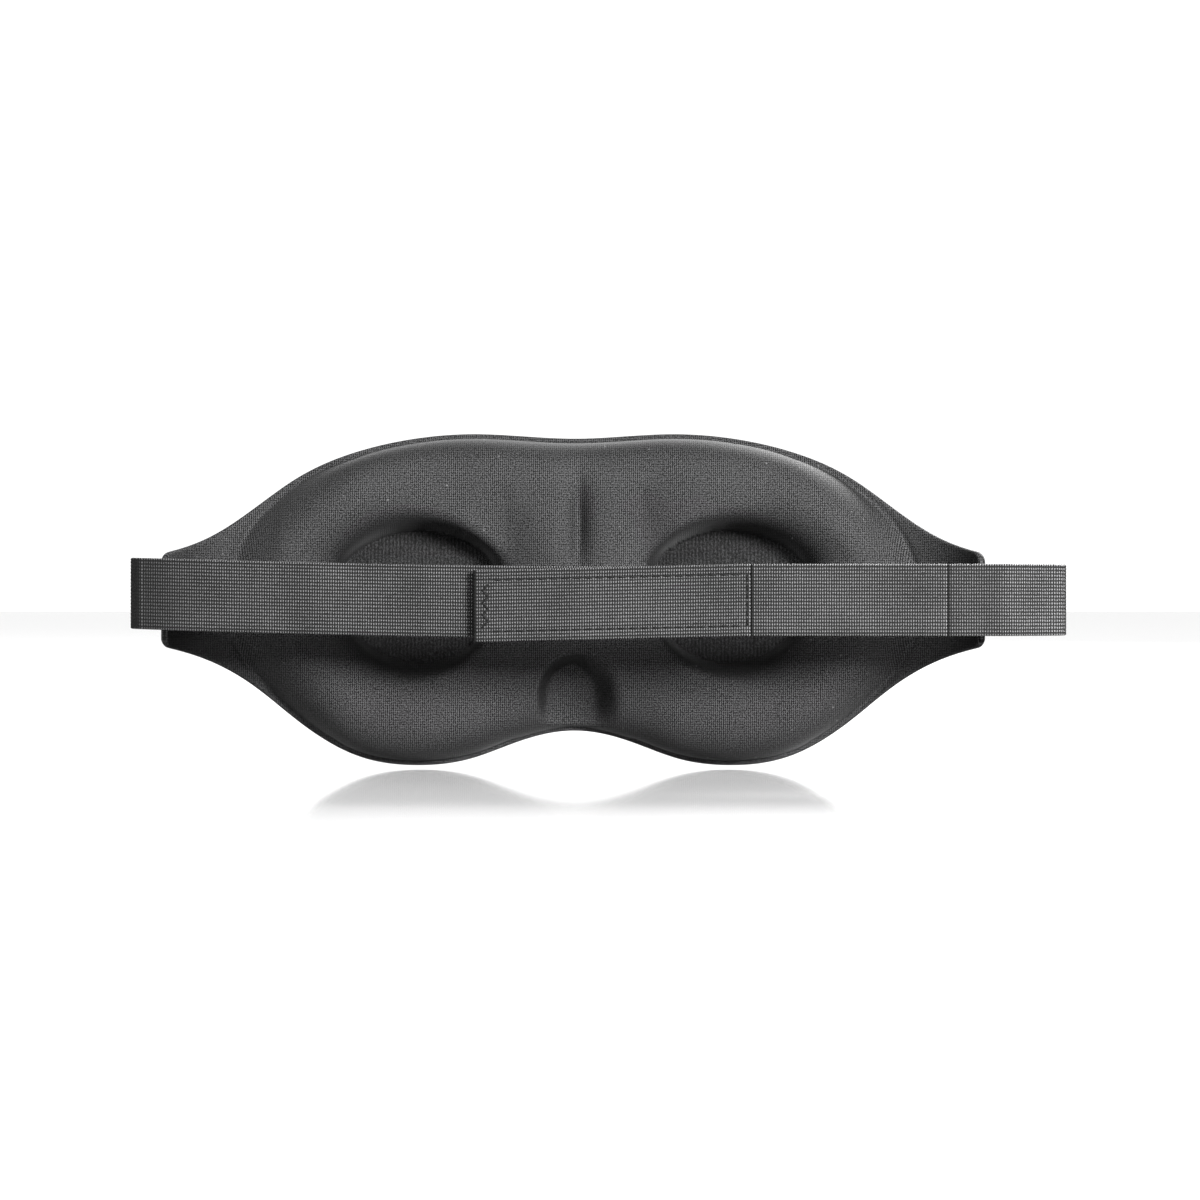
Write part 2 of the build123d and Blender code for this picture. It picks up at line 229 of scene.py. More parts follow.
def padOf(name, grid, nearHeight, farHeight):  # closed piece between two heights over the base curve
    sheets = []
    uv = np.stack([grid["run"], grid["z"]], axis=-1) * mm
    for tag, height in (("Near", nearHeight), ("Far", farHeight)):
        x = grid["x"] - np.sin(grid["turn"]) * height
        y = grid["y"] + np.cos(grid["turn"]) * height
        sheets.append(layGrid(name + tag, np.stack([x, y, grid["z"]], axis=-1), uv))
    return closeSheets(name, *sheets)


def maskGrid(step, inset=0.0):  # grid over the whole outline, drawn in from its edge by an inset
    fine = [0, 0.25, 0.55, 0.9, 1.3, 1.8, 2.4, 3.1, 4.0]   # rows close together near every edge
    along = spacing(2 * (halfLength - inset), fine, step) - (halfLength - inset)
    run = np.repeat(along[:, None], 1, axis=1)
    top, bottom = edgesAt(run)
    top, bottom = top - inset, bottom + inset
    tallest = float(np.max(top - bottom))
    share = spacing(tallest, fine, step)
    rows = len(share)
    z = np.empty((len(along), rows))
    edge = fine[-1]
    for k in range(len(along)):
        high, low = top[k, 0], bottom[k, 0]
        limit = min(edge, (high - low) / 2 - 1)
        stretched = limit + (share - edge) / (tallest - 2 * edge) * (high - low - 2 * limit)
        scaled = np.where(share > edge, stretched, share * limit / edge)
        fromTop = tallest - share
        scaled = np.where(fromTop < edge, high - low - fromTop * limit / edge, scaled)
        z[k] = low + scaled
    run = np.repeat(along[:, None], rows, axis=1)
    x, y, turn = baseCurve(run)
    return {"run": run, "x": x, "y": y, "turn": turn, "z": z}


def outlineLoop():  # closed outline in cloth measure: length along the base curve, height
    tipEnd = 4.0   # the corners need closer points than the rest
    ends = 0.02 * np.arange(1, 200)
    middle = np.linspace(tipEnd - halfLength, halfLength - tipEnd, 900)
    along = np.concatenate([ends - halfLength, middle, halfLength - ends[::-1]])
    top, bottom = edgesAt(along)
    upper = np.stack([along, top], axis=1)
    lower = np.stack([along, bottom], axis=1)[::-1]
    tips = []
    for x, start, stop in ((halfLength, upper[-1, 1], lower[0, 1]), (-halfLength, lower[-1, 1], upper[0, 1])):
        tips.append(np.array([(x, z) for z in np.linspace(start, stop, 60)[1:-1]]))
    return np.concatenate([upper, tips[0], lower, tips[1]])


cushionShape = {
    "crest": 15.6,             # height of the ridge over the base curve
    "riseWidth": 15.0,         # how far in from its outline the ring reaches its ridge
    "endRiseWidth": 17.0,
    "floorX": 47.0, "mouthX": 53.0, "centreZ": 1.0,
    "floorHalf": (22.5, 20.3), "mouthHalf": (31.0, 25.0), "upperWiden": 0.16,
    "ridgeAt": 1.85,           # place of the ridge, in steps from floor to mouth
    "creaseX": -1.5, "creaseDepth": 4.6, "creaseHalf": 3.3, "creaseTop": 44.0, "creaseBottom": 2.0,
    "bridgeSide": 21.0, "bridgeHalf": 9.0, "bridgeDrop": 4.2,   # it is domed between the cavities
    "noseX": -0.9, "noseHalf": 11.6, "archZ": -17.0, "noseFloor": 3.6, "noseDip": 4.0,
    "flange": 0.75,
}


def cushionHeight(grid, insideEdge):
    c = cushionShape
    x, z = grid["x"], grid["z"]
    inside = depthInside(ringOutline(), x, z)
    width = c["riseWidth"] + (c["endRiseWidth"] - c["riseWidth"]) * smoothStep(60, 96, np.abs(x))
    t = np.clip(inside / width, 0, 1)
    outer = (1 - (1 - t) ** 2) ** (0.5 + 0.4 * smoothStep(66, 92, np.abs(x)))
    rise = cavityRise(x, z, c)
    t = np.clip(rise / c["ridgeAt"], 0, 1)
    inner = (1 - (1 - t) ** 2.3) ** (1 / 2.3)
    crest = c["crest"] - 1.5 * smoothStep(70, 98, np.abs(x))
    height = crest * np.minimum(outer, 1) * inner
    # the two rings meet over the nose in a dome with a crease in it
    window = smoothStep(c["creaseBottom"], 20, z) * (1 - smoothStep(24, c["creaseTop"], z))
    beside = np.exp(-((np.abs(x) - c["bridgeSide"]) / c["bridgeHalf"]) ** 2)
    height -= c["bridgeDrop"] * beside * np.exp(-((z - 4) / 27) ** 4) * outer * inner
    height -= c["creaseDepth"] * np.exp(-(np.abs(x - c["creaseX"]) / c["creaseHalf"]) ** 1.5) * window
    # the bridge drops towards the nose, and the recess is pressed into it
    across = x - c["noseX"]
    height -= c["noseDip"] * (1 - smoothStep(-22, 6, z)) * np.exp(-(x / 20) ** 2) * outer
    centreZ = c["archZ"] - c["noseHalf"]
    reach = np.where(z > centreZ, np.hypot(across, z - centreZ), np.abs(across)) - c["noseHalf"]
    soft = 2.6 + 4.0 * smoothStep(-3, 7, -across)
    recess = 1 - smoothStep(-soft, soft * 0.45, reach)
    sunk = np.minimum(height, c["noseFloor"] + 0.035 * across ** 2)
    height = height + (sunk - height) * recess
    flange = c["flange"] * np.sqrt(1 - (1 - np.clip(insideEdge / 0.6, 0, 1)) ** 2)
    pressed = flange - 0.3 * np.exp(-((inside + 0.4) / 0.8) ** 2)
    return np.where(rise > 0, np.maximum(height, pressed * (inside < 3) + 0.1), 0.1)


frontShape = {
    "body": 6.6, "tip": 2.9,   # depth of the panel at the middle and at the tips
    "roll": 5.2,               # how fast its edge rounds over
    "dimpleX": 49.5, "dimpleZ": -1.5, "dimpleHalf": (29.0, 23.0), "dimpleDepth": 1.3, "swell": 0.5,
}


def frontHeight(grid, insideEdge):
    f = frontShape
    length = np.abs(grid["run"])
    depth = f["body"] + (f["tip"] - f["body"]) * smoothStep(bodyLength - 18, halfLength, length)
    roll = np.minimum(f["roll"], 1.4 * depth)
    t = np.clip(insideEdge / roll, 0, 1)
    edge = (1 - (1 - t) ** 2.2) ** (1 / 2.2)
    crown = 1.6 * smoothStep(0, 34, insideEdge) * (1 - smoothStep(70, 110, length))
    across = (np.abs(grid["x"]) - f["dimpleX"]) / f["dimpleHalf"][0]
    up = (grid["z"] - f["dimpleZ"]) / f["dimpleHalf"][1]
    ring = np.hypot(across, up)
    dimple = f["dimpleDepth"] * (1 - smoothStep(0.72, 1.06, ring))
    raised = f["swell"] * np.exp(-((ring - 1.2) / 0.2) ** 2)
    return -(depth * edge + crown - (dimple - raised) * smoothStep(0, 8, insideEdge))


puffShape = {"enlarge": 5.0, "pressure": 4.0, "frames": 20, "cap": 1.1, "near": 6, "backing": 3.0}


def swell(piece, coarse, isHeld):  # a coarse, larger copy swells as cloth; the piece follows, up to the cap
    s = puffShape
    big = s["enlarge"]
    pick(coarse)
    bpy.ops.object.mode_set(mode="EDIT")
    bpy.ops.mesh.select_all(action="SELECT")
    bpy.ops.transform.resize(value=(big, big, big), center_override=(0, 0, 0))
    bpy.ops.object.mode_set(mode="OBJECT")
    rest = np.array([vertex.co for vertex in coarse.data.vertices])
    group = coarse.vertex_groups.new(name="held")
    group.add([int(i) for i in np.nonzero(isHeld(rest / big / mm))[0]], 1.0, "REPLACE")
    cloth = coarse.modifiers.new("cloth", "CLOTH")
    cloth.settings.use_pressure = True
    cloth.settings.uniform_pressure_force = s["pressure"]
    cloth.settings.effector_weights.gravity = 0
    cloth.settings.vertex_group_mass = "held"
    cloth.point_cache.frame_end = s["frames"]
    for step in range(1, s["frames"] + 1):
        bpy.context.scene.frame_set(step)
    bpy.ops.object.modifier_apply(modifier="cloth")
    moved = (np.array([vertex.co for vertex in coarse.data.vertices]) - rest) / big
    bpy.context.scene.frame_set(1)
    size = np.linalg.norm(moved, axis=1, keepdims=True)
    cap = s["cap"] * mm
    moved *= np.tanh(size / cap) * cap / np.maximum(size, 1e-9)
    tree = kdtree.KDTree(len(rest))
    for i, place in enumerate(rest):
        tree.insert(place / big, i)
    tree.balance()
    for vertex in piece.data.vertices:
        found = tree.find_n(vertex.co, s["near"])
        weights = np.array([1 / (distance + 0.4 * mm) ** 2 for _, _, distance in found])
        shift = (weights[:, None] * moved[[i for _, i, _ in found]]).sum(axis=0) / weights.sum()
        vertex.co += Vector(shift)
    print(piece.name, "swelled by up to", round(float(size.max() / mm), 2), "mm, capped")
    bpy.data.objects.remove(coarse)


def baseY(x):  # the base curve's place above a point of the body
    return bodyCentreY - np.sqrt(maskShape["bodyRadius"] ** 2 - np.minimum(np.abs(x), 110) ** 2)


def heldCushion(place):
    x, y, z = place.T
    backing = y < baseY(x) - puffShape["backing"] / 2
    c = cushionShape
    recess = (np.abs(x - c["noseX"]) < c["noseHalf"] + 3) & (z < c["archZ"] + 4)
    crease = (np.abs(x - c["creaseX"]) < c["creaseHalf"] + 1) & (z > 0)
    return (backing | recess | crease | (depthInside(ringOutline(), x, z) < 1.5)
            | (cavityRise(x, z, c) < 0.35))


def heldPanel(place):
    x, y, z = place.T
    top, bottom = upperEdgeAt(x), lowerEdgeAt(x)
    backing = y > baseY(x) + puffShape["backing"] / 2
    return backing | (np.minimum(top - z, z - bottom) < 2.5) | (np.abs(x) > 92)


def smoothWalls(piece):  # evens out the cavities' walls, which are steeper than the grid can hold
    place = np.array([vertex.co for vertex in piece.data.vertices]) / mm
    rise = cavityRise(place[:, 0], place[:, 2], cushionShape)
    steep = (rise > -0.12) & (rise < 0.75) & (place[:, 1] > baseY(place[:, 0]) + 0.02)
    group = piece.vertex_groups.new(name="walls")
    group.add([int(i) for i in np.nonzero(steep)[0]], 1.0, "REPLACE")
    pick(piece)
    smooth = piece.modifiers.new("walls", "SMOOTH")
    smooth.vertex_group = "walls"
    smooth.factor = 0.6
    smooth.iterations = 9
    bpy.ops.object.modifier_apply(modifier="walls")


print("laying the padded body")
grid = maskGrid(0.7)
edgeLoop = outlineLoop()
insideEdge = np.maximum(depthInside(edgeLoop, grid["run"], grid["z"]), 0)
faceCushion = padOf("faceCushion", grid, cushionHeight(grid, insideEdge), np.zeros(grid["run"].shape))
smoothWalls(faceCushion)
panelGrid = maskGrid(1.3)
panelInside = np.maximum(depthInside(edgeLoop, panelGrid["run"], panelGrid["z"]), 0)
panelBack = np.full(panelInside.shape, -0.04)
frontPanel = padOf("frontPanel", panelGrid, panelBack, frontHeight(panelGrid, panelInside) - 0.06)


print("swelling the cushion and the panel")
simGrid = maskGrid(2.8)
simInside = np.maximum(depthInside(edgeLoop, simGrid["run"], simGrid["z"]), 0)
backing = np.full(simGrid["run"].shape, puffShape["backing"])
swell(faceCushion, padOf("cushionSim", simGrid, cushionHeight(simGrid, simInside), -backing), heldCushion)
swell(frontPanel, padOf("panelSim", simGrid, backing, frontHeight(simGrid, simInside)), heldPanel)


liningShape = {"inset": 3.0, "top": 0.9, "bulge": 1.2, "near": 0.05, "far": 0.02}


def layLining():  # blackout cloth behind the panel; it is the floor of both cavities and bulges there
    s = liningShape
    sheet = maskGrid(2.0, inset=s["inset"])
    across = (np.abs(sheet["x"]) - cushionShape["floorX"]) / cushionShape["floorHalf"][0]
    up = (sheet["z"] - cushionShape["centreZ"]) / cushionShape["floorHalf"][1]
    ring = np.hypot(across, up)
    top = s["top"] * (1 - smoothStep(1.0, 1.15, ring)) + s["bulge"] * np.clip(1 - ring ** 2, 0, 1)
    return padOf("blackoutLining", sheet, top + s["near"], np.full(top.shape, s["far"]))


blackoutLining = layLining()


webShape = {
    "width": 20.0, "thick": 1.5,
    "cover": 0.75,                    # face cloth between the web and the wing's foam
    "lap": 11.0,                      # sewn length on each wing
    "leftReach": 124.2, "rightReach": 139.2, "leftPlane": 31.3, "rightPlane": 33.9, "leftEnd": -30.0,
    "rightLead": 3.0, "rightKick": 15.0, "rightKickRadius": 12.0,
    "stretchStart": -104.0, "tabSeam": -49.5, "tabStart": -47.5, "tabEnd": 27.3, "tabTilt": 1.3,
    "ribs": 19, "ribDepth": 0.1, "selvedge": 0.8,
}


def onCircle(centre, radius, heading):
    return Vector((centre[0] + radius * math.sin(heading), centre[1] - radius * math.cos(heading)))


def arcPath(centre, radius, start, stop, step=0.07):  # a negative radius turns right
    count = max(3, int(abs(stop - start) / step))
    return [(*onCircle(centre, radius, heading), heading) for heading in np.linspace(start, stop, count + 1)]


def linePath(start, heading, length, step=1.0):
    count = max(1, int(abs(length) / step))
    return [(start[0] + t * math.cos(heading), start[1] + t * math.sin(heading), heading)
            for t in np.linspace(0, length, count + 1)]


def foldedPath(path, heading, reach, plane, endX):  # a straight and a bend carry the web round to its run
    start = path[-1]
    x = reach - webShape["thick"] / 2 - start[0]
    y = plane - start[1]
    size = 1 + math.cos(heading) - math.sin(heading)
    straight = (x * (1 + math.cos(heading)) - y * (1 - math.sin(heading))) / size
    radius = (y * math.cos(heading) - x * math.sin(heading)) / size
    path += linePath(start, heading, straight)[1:]
    centre = Vector(path[-1][:2]) + Vector((-math.sin(heading), math.cos(heading))) * radius
    path += arcPath(centre, radius, heading, math.pi)[1:]
    return path + linePath(path[-1], math.pi, path[-1][0] - endX)[1:]


def sewnEnd():
    lapRadius = maskShape["wingRadius"] - webShape["cover"] - webShape["thick"] / 2
    return arcPath(wingCentre, lapRadius, tipTurn - webShape["lap"] / lapRadius, tipTurn, 0.03)


def rightPath():  # drawn on the left and turned over by layWeb
    path = sewnEnd()
    path += linePath(path[-1], tipTurn, webShape["rightLead"])[1:]
    kick = math.radians(webShape["rightKick"])
    radius = webShape["rightKickRadius"]
    centre = Vector(path[-1][:2]) + Vector((math.sin(tipTurn), -math.cos(tipTurn))) * radius
    path += arcPath(centre, -radius, tipTurn, kick)[1:]
    return foldedPath(path, kick, webShape["rightReach"], webShape["rightPlane"], -webShape["stretchStart"])


def layWeb(name, path, side=1, pressedRows=()):  # ribbed elastic along a path, with round selvedges
    w = webShape
    path = np.array(path)
    length = np.concatenate([[0], np.cumsum(np.hypot(*np.diff(path[:, :2], axis=0).T))])
    ribWidth = (w["width"] - 2 * w["selvedge"]) / w["ribs"]
    across = np.linspace(-w["width"] / 2, w["width"] / 2, 6 * w["ribs"] + 13)
    fromEdge = w["width"] / 2 - np.abs(across)
    rib = np.abs(np.cos(np.pi * (across / ribWidth + (0 if w["ribs"] % 2 else 0.5))))
    rib = np.where(fromEdge < w["selvedge"], np.sin(np.pi * np.clip(fromEdge / w["selvedge"], 0, 1)), rib)
    rolled = np.sqrt(1 - (1 - np.clip(fromEdge / 0.5, 0, 1)) ** 2)
    half = (w["thick"] / 2 - w["ribDepth"] * (1 - rib)) * (0.3 + 0.7 * rolled)
    z = np.repeat(across[None, :], len(path), axis=0)
    uv = np.stack([np.repeat(length[:, None], len(across), axis=1), z], axis=-1) * mm
    sheets = []
    for tag, sign in (("Near", 1), ("Far", -1)):
        offset = half.copy()
        if sign < 0:
            for row in pressedRows:
                offset -= 0.22 * np.exp(-((across - row) / 0.5) ** 2)
        offset = np.repeat(offset[None, :], len(path), axis=0) * sign
        x = side * (path[:, 0:1] - np.sin(path[:, 2:3]) * offset)
        y = path[:, 1:2] + np.cos(path[:, 2:3]) * offset
        sheets.append(layGrid(name + tag, np.stack([x, y, z], axis=-1), uv))
    return closeSheets(name, *sheets)


def tilted(x, z):  # the tab is closed a little askew about its inner stitch line
    return z - math.tan(math.radians(webShape["tabTilt"])) * max(x - webShape["tabStart"], 0)


def tiltPiece(piece):
    for vertex in piece.data.vertices:
        vertex.co.z = tilted(vertex.co.x / mm, vertex.co.z / mm) * mm


leftSway = {"side": 1, "reach": webShape["leftReach"], "fromX": 100.0, "length": 20.0,
            "drop": 2.6, "lift": 2.4, "bow": 0.0}
rightSway = {"side": -1, "reach": webShape["rightReach"], "fromX": 104.0, "length": 30.0,
             "drop": 5.0, "lift": 0.0, "bow": 1.7}


def swayWeb(piece, sway):  # the run falls back towards its fold, and rises along the way
    for vertex in piece.data.vertices:
        x, y = sway["side"] * vertex.co.x / mm, vertex.co.y / mm
        t = min(max((x - sway["fromX"]) / sway["length"], 0), 1)
        onRun = min(max((y - 26) / 5, 0), 1)
        bow = sway["bow"] * math.exp(-((x - 122) / 8) ** 2)   # where it lies over the tip
        vertex.co.y += (bow - sway["drop"] * t * t) * onRun * onRun * (3 - 2 * onRun) * mm
        rise = min(max((x - 10) / (sway["reach"] - 10), 0), 1)
        vertex.co.z += (sway["lift"] * rise ** 1.5 - 0.2 * sway["lift"]) * mm


print("laying the webbing")
stitchShape = {
    "long": 2.2, "pitch": 3.15, "thread": 0.5, "rowInset": 2.9,
    "patchStart": -44.5, "patchEnd": 25.8, "patchWidth": 17.0, "patchThick": 1.0,
    "tipHalf": 12.5, "tipInset": 2.5,
}
rowZ = webShape["width"] / 2 - stitchShape["rowInset"]
leftPath = foldedPath(sewnEnd(), tipTurn, webShape["leftReach"], webShape["leftPlane"], webShape["leftEnd"])
spanPath = linePath((-webShape["stretchStart"], webShape["rightPlane"]), math.pi,
                    webShape["tabSeam"] - webShape["stretchStart"])
tabPath = linePath((-webShape["tabSeam"], webShape["rightPlane"]), math.pi,
                   webShape["tabEnd"] - webShape["tabSeam"])
leftStrap = layWeb("leftStrap", leftPath)
rightStrap = layWeb("rightStrap", rightPath(), side=-1)
elasticSpan = layWeb("elasticSpan", spanPath, side=-1)
hookTab = layWeb("hookTab", tabPath, side=-1, pressedRows=(-rowZ, rowZ))
tiltPiece(hookTab)
swayWeb(leftStrap, leftSway)
swayWeb(rightStrap, rightSway)


def layPatch():  # hook tape: a woven ground with short rows of hooks on the side towards the strap
    s = stitchShape
    run = s["patchEnd"] - s["patchStart"]
    deselectAll()
    bpy.ops.mesh.primitive_cube_add(size=1)
    patch = bpy.context.object
    patch.name = "hookPatch"
    plane = webShape["rightPlane"] - webShape["thick"] / 2 - s["patchThick"] / 2
    bpy.ops.object.mode_set(mode="EDIT")
    bpy.ops.mesh.select_all(action="SELECT")
    size = (run * mm, (s["patchThick"] - 0.1) * mm, s["patchWidth"] * mm)
    bpy.ops.transform.resize(value=size, center_override=(0, 0, 0))
    bpy.ops.mesh.subdivide(number_cuts=24)
    bpy.ops.transform.translate(value=((s["patchStart"] + s["patchEnd"]) / 2 * mm, plane * mm, 0))
    bpy.ops.object.mode_set(mode="OBJECT")
    bevel = patch.modifiers.new("edge", "BEVEL")
    bevel.width = 0.2 * mm
    bevel.segments = 3
    bpy.ops.object.modifier_apply(modifier="edge")
    tiltPiece(patch)
    return patch


hookPatch = layPatch()
print("sewing")


def sew(name, spots, long, thread):  # short threads, each sunk at both ends; a spot is a place and a turn
    stitches = []
    for place, turn in spots:
        deselectAll()
        bpy.ops.mesh.primitive_uv_sphere_add(segments=12, ring_count=9, radius=1)
        stitch = bpy.context.object
        stitch.scale = (long / 2 * mm, thread * 0.6 * mm, thread / 2 * mm)
        stitch.rotation_euler = turn
        stitch.location = Vector(place) * mm
        stitches.append(stitch)
    pick(*stitches)
    bpy.ops.object.join()
    bpy.ops.object.transform_apply(location=True, rotation=True, scale=True)
    piece = bpy.context.object
    piece.name = name
    bpy.ops.object.shade_smooth()
    return piece


def sewTab():
    s = stitchShape
    w = webShape
    faceY = w["rightPlane"] + w["thick"] / 2 - 0.12
    lean = math.radians(w["tabTilt"])
    rows = []
    for row in (-1, 1):
        for i in range(int((s["patchEnd"] - 3 - w["tabStart"]) / s["pitch"])):
            x = w["tabStart"] + 2 + i * s["pitch"]
            rows.append(((x, faceY, tilted(x, row * rowZ)), (0, lean + 0.05 * math.sin(7 * i + row), 0)))
    steps = 7
    rise = 2 * (rowZ - 1.2) / steps
    zigzag = []
    for i in range(steps):
        x = s["patchEnd"] - 1.8
        z = tilted(x, -rowZ + 1.2 + (i + 0.5) * rise)
        zigzag.append(((x, faceY + 0.05, z), (0, math.radians(90 + (42 if i % 2 else -42)), 0)))
    line = []
    for i in range(6):
        z = -w["width"] / 2 + s["rowInset"] + (i + 0.5) * (w["width"] - 2 * s["rowInset"]) / 6
        line.append(((w["tabStart"] - 1.2, faceY + 0.05, z), (0, math.radians(90), 0)))
    return (sew("tabRowStitches", rows, s["long"] + 0.3, s["thread"]),
            sew("tabEndStitches", zigzag, s["long"] + 0.9, s["thread"] * 1.3),
            sew("tabLineStitches", line, s["long"] + 0.2, s["thread"]))


def sewTip(name, side):
    s = stitchShape
    count = 10
    spots = []
    turn = tipTurn - s["tipInset"] / maskShape["wingRadius"]
    for i in range(count):
        z = -s["tipHalf"] + (i + 0.5) * 2 * s["tipHalf"] / count
        depth = webShape["cover"] + (webShape["thick"] if abs(z) < webShape["width"] / 2 else 0)
        spot = onCircle(wingCentre, maskShape["wingRadius"] - depth, turn)
        spots.append(((side * spot.x, spot.y, z), (0, math.radians(90), side * turn)))
    return sew(name, spots, s["long"] + 0.3, s["thread"])


tabRowStitches, tabEndStitches, tabLineStitches = sewTab()
leftTipStitches = sewTip("leftTipStitches", 1)
rightTipStitches = sewTip("rightTipStitches", -1)


class Signal:  # a shader socket that takes part in ordinary arithmetic
    def __init__(self, tree, socket):
        self.tree = tree
        self.socket = socket

    def math(self, operation, *values):
        node = self.tree.nodes.new("ShaderNodeMath")
        node.operation = operation
        for port, value in zip(node.inputs, values):
            if isinstance(value, Signal):
                self.tree.links.new(value.socket, port)
            else:
                port.default_value = value
        return Signal(self.tree, node.outputs[0])

    def __add__(self, other):
        return self.math("ADD", self, other)

    def __mul__(self, other):
        return self.math("MULTIPLY", self, other)

    def __sub__(self, other):
        return self.math("SUBTRACT", self, other)

    def __rsub__(self, other):
        return self.math("SUBTRACT", other, self)

    __radd__ = __add__
    __rmul__ = __mul__

    def wave(self, length):  # 0 to 1 and back over each length
        return 0.5 + 0.5 * self.math("SINE", self * (2 * math.pi / length))

    def above(self, low, high):  # 0 below low, 1 above high
        node = self.tree.nodes.new("ShaderNodeMapRange")
        node.interpolation_type = "SMOOTHSTEP"
        self.tree.links.new(self.socket, node.inputs["Value"])
        node.inputs["From Min"].default_value = low
        node.inputs["From Max"].default_value = high
        return Signal(self.tree, node.outputs[0])


class Finish:  # a material, and one method that adds any node to it
    def __init__(self, name):
        self.material = bpy.data.materials.new(name)
        self.material.use_nodes = True
        self.tree = self.material.node_tree
        self.shader = self.tree.nodes["Principled BSDF"]

    def plug(self, port, value):
        if isinstance(value, Signal):
            self.tree.links.new(value.socket, port)
        else:
            port.default_value = value

    def add(self, kind, settings=None, output=0, **ports):
        node = self.tree.nodes.new(kind)
        for key, value in (settings or {}).items():
            setattr(node, key, value)
        for key, value in ports.items():
            self.plug(node.inputs[key.replace("_", " ")], value)
        return Signal(self.tree, node.outputs[output])

    def measure(self):  # the cloth's own length and height, in metres
        uv = self.add("ShaderNodeUVMap", {"uv_map": "clothMeasure"})
        node = self.tree.nodes.new("ShaderNodeSeparateXYZ")
        self.plug(node.inputs[0], uv)
        return uv, Signal(self.tree, node.outputs[0]), Signal(self.tree, node.outputs[1])

    def normalAlong(self, axis):  # the surface's own direction, 0 for X, 1 for Y, 2 for Z
        split = self.tree.nodes.new("ShaderNodeSeparateXYZ")
        self.plug(split.inputs[0], self.add("ShaderNodeNewGeometry", output=1))
        return Signal(self.tree, split.outputs[axis])

    def facing(self):  # 1 where the surface looks to the front or the back, 0 on the cavities' walls; the knit uses it for painted shade
        side = self.normalAlong(1)
        return side.math("ABSOLUTE", side)

    def speckle(self, vector, scale, detail=2.0, rough=0.55):
        return self.add("ShaderNodeTexNoise", {"noise_dimensions": "3D"}, Vector=vector, Scale=scale,
                        Detail=detail, Roughness=rough)

    def tint(self, factor, low, high):
        node = self.tree.nodes.new("ShaderNodeMix")
        node.data_type = "RGBA"
        self.plug(node.inputs["Factor"], factor)
        self.plug(node.inputs[6], (*low, 1) if isinstance(low, tuple) else low)
        self.plug(node.inputs[7], (*high, 1) if isinstance(high, tuple) else high)
        return Signal(self.tree, node.outputs[2])

    def bump(self, height, distance, strength):
        node = self.tree.nodes.new("ShaderNodeBump")
        node.inputs["Strength"].default_value = strength
        node.inputs["Distance"].default_value = distance
        self.plug(node.inputs["Height"], height)
        return Signal(self.tree, node.outputs[0])

    def done(self, pieces, colour, roughness, normal, **constants):
        self.plug(self.shader.inputs["Base Color"], colour)
        self.plug(self.shader.inputs["Roughness"], roughness)
        self.plug(self.shader.inputs["Normal"], normal)
        for key, value in constants.items():
            self.shader.inputs[key.replace("_", " ")].default_value = value
        for piece in pieces:
            piece.data.materials.clear()
            piece.data.materials.append(self.material)


def knitFinish(name, pieces, k):  # warp knit: upright wales of small loops, brushed, with a few lint specks, and painted shade on steep walls
    f = Finish(name)
    uv, run, height = f.measure()
    wobble = f.speckle(uv, 260.0, 1.0)
    wale = (run + (wobble - 0.5) * 0.00012).wave(k["wale"])
    course = (height + wale * (k["course"] * 0.35)).wave(k["course"])
    loops = wale * 0.6 + course * 0.4
    fine = f.speckle(uv, 2300.0, 2.0, 0.75)
    patchy = f.speckle(uv, 38.0, 3.0)
    lint = f.speckle(uv, 900.0, 0.0).above(0.83, 0.87)
    shade = 0.36 + (loops - 0.5) * 1.5 + (fine - 0.5) * 4.6 + (patchy - 0.5) * 0.4
    colour = f.tint(shade.above(-0.1, 1.0), k["dark"], k["light"])
    # painted shade: the colour goes to the dark tone where the surface turns away from the front, on the
    # cavities' walls and the rolled edges
    colour = f.tint(f.facing().above(0.22, 1.0), k["dark"], colour)
    colour = f.tint(lint * 0.5, colour, (0.05, 0.05, 0.05))
    normal = f.bump(loops * 0.7 + fine * 0.6, k["depth"], k["bump"])
    f.done(pieces, colour, 0.9 - shade * 0.1, normal, Sheen_Weight=k["sheen"], Sheen_Roughness=0.4,
           Sheen_Tint=(0.75, 0.75, 0.76, 1), Specular_IOR_Level=0.06)


